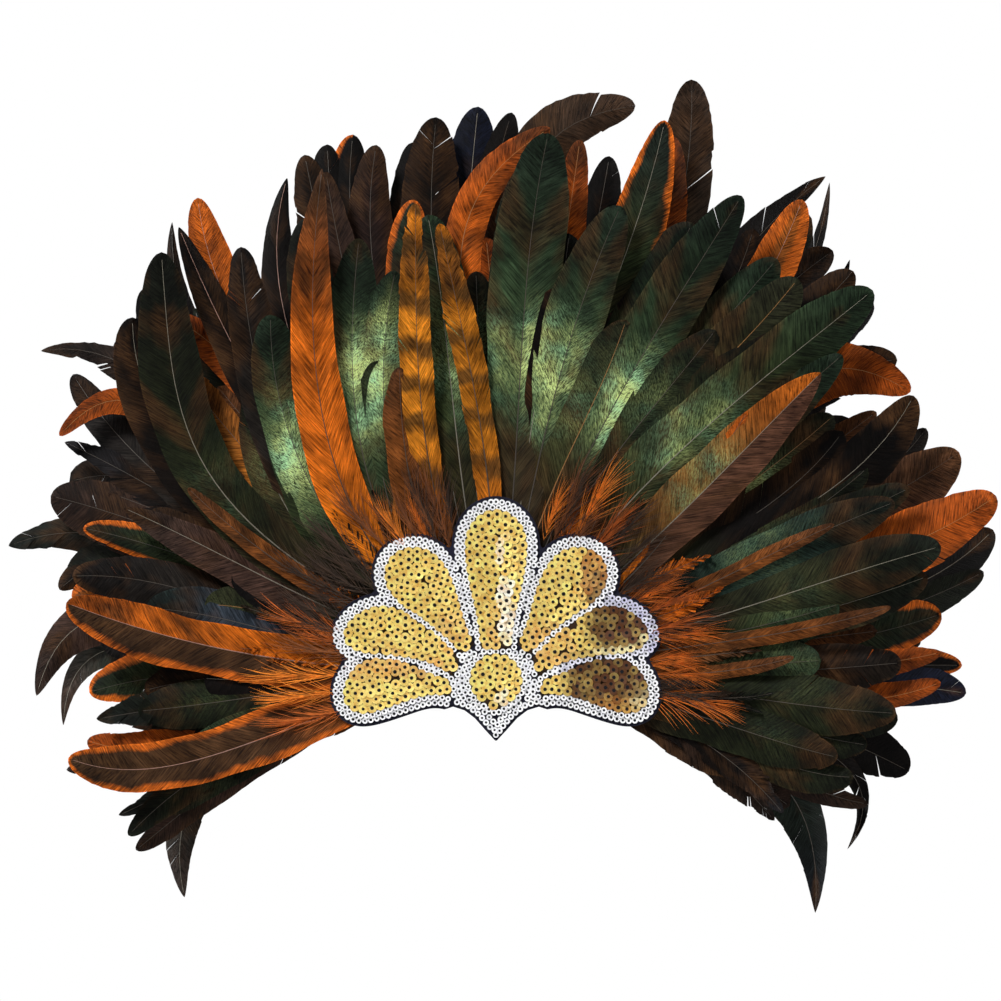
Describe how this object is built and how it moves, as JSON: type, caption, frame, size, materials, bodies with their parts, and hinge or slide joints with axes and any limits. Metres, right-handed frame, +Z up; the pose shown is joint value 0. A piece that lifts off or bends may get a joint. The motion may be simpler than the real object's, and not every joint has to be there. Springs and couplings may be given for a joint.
{
  "type": "feather headband",
  "caption": "Head band that carries a wide upright fan of layered iridescent and orange feathers behind a petal-shaped gold and silver sequin motif.",
  "frame": {"origin": "centre of the head band's loop, halfway up the band, where the head sits", "axes": "+Z up along the wearer's head, the motif faces -Y, +X to the right as seen from the front"},
  "size_m": [0.4953, 0.2389, 0.418],
  "materials": {
    "webbing": "ribbed black webbing, matt",
    "backing_felt": "black felt, matt",
    "black_feather": "black feather vane with a satin gloss",
    "bronze_feather": "brown and bronze feather vane with a satin gloss",
    "orange_feather": "orange feather vane, soft satin",
    "dark_green_feather": "dark green feather vane with a satin gloss",
    "green_feather": "green feather vane with a mint iridescence",
    "bright_feather": "orange and amber barred feather vane, downy at the base",
    "motif_felt": "black felt, matt",
    "silver_sequin": "metallised silver film, glossy",
    "gold_sequin": "metallised gold film, glossy"
  },
  "bodies": {
    "root": {"head_band": "webbing", "backing_plate": "backing_felt", "black_feathers_left": "black_feather", "black_feathers_crown": "black_feather", "black_feathers_right": "black_feather", "bronze_feathers_left": "bronze_feather", "bronze_feathers_crown": "bronze_feather", "bronze_feathers_right": "bronze_feather", "orange_feathers_left": "orange_feather", "orange_feathers_crown": "orange_feather", "orange_feathers_right": "orange_feather", "dark_green_feathers_left": "dark_green_feather", "dark_green_feathers_crown": "dark_green_feather", "dark_green_feathers_right": "dark_green_feather", "green_feathers_left": "green_feather", "green_feathers_crown": "green_feather", "green_feathers_right": "green_feather", "bright_feathers_left": "bright_feather", "bright_feathers_crown": "bright_feather", "bright_feathers_right": "bright_feather", "felt_base": "motif_felt", "silver_border": "silver_sequin", "petal_top": "gold_sequin", "petal_upper_left": "gold_sequin", "petal_upper_right": "gold_sequin", "petal_middle_left": "gold_sequin", "petal_middle_right": "gold_sequin", "petal_lower_left": "gold_sequin", "petal_lower_right": "gold_sequin", "bud": "gold_sequin"}
  },
  "joints": []
}
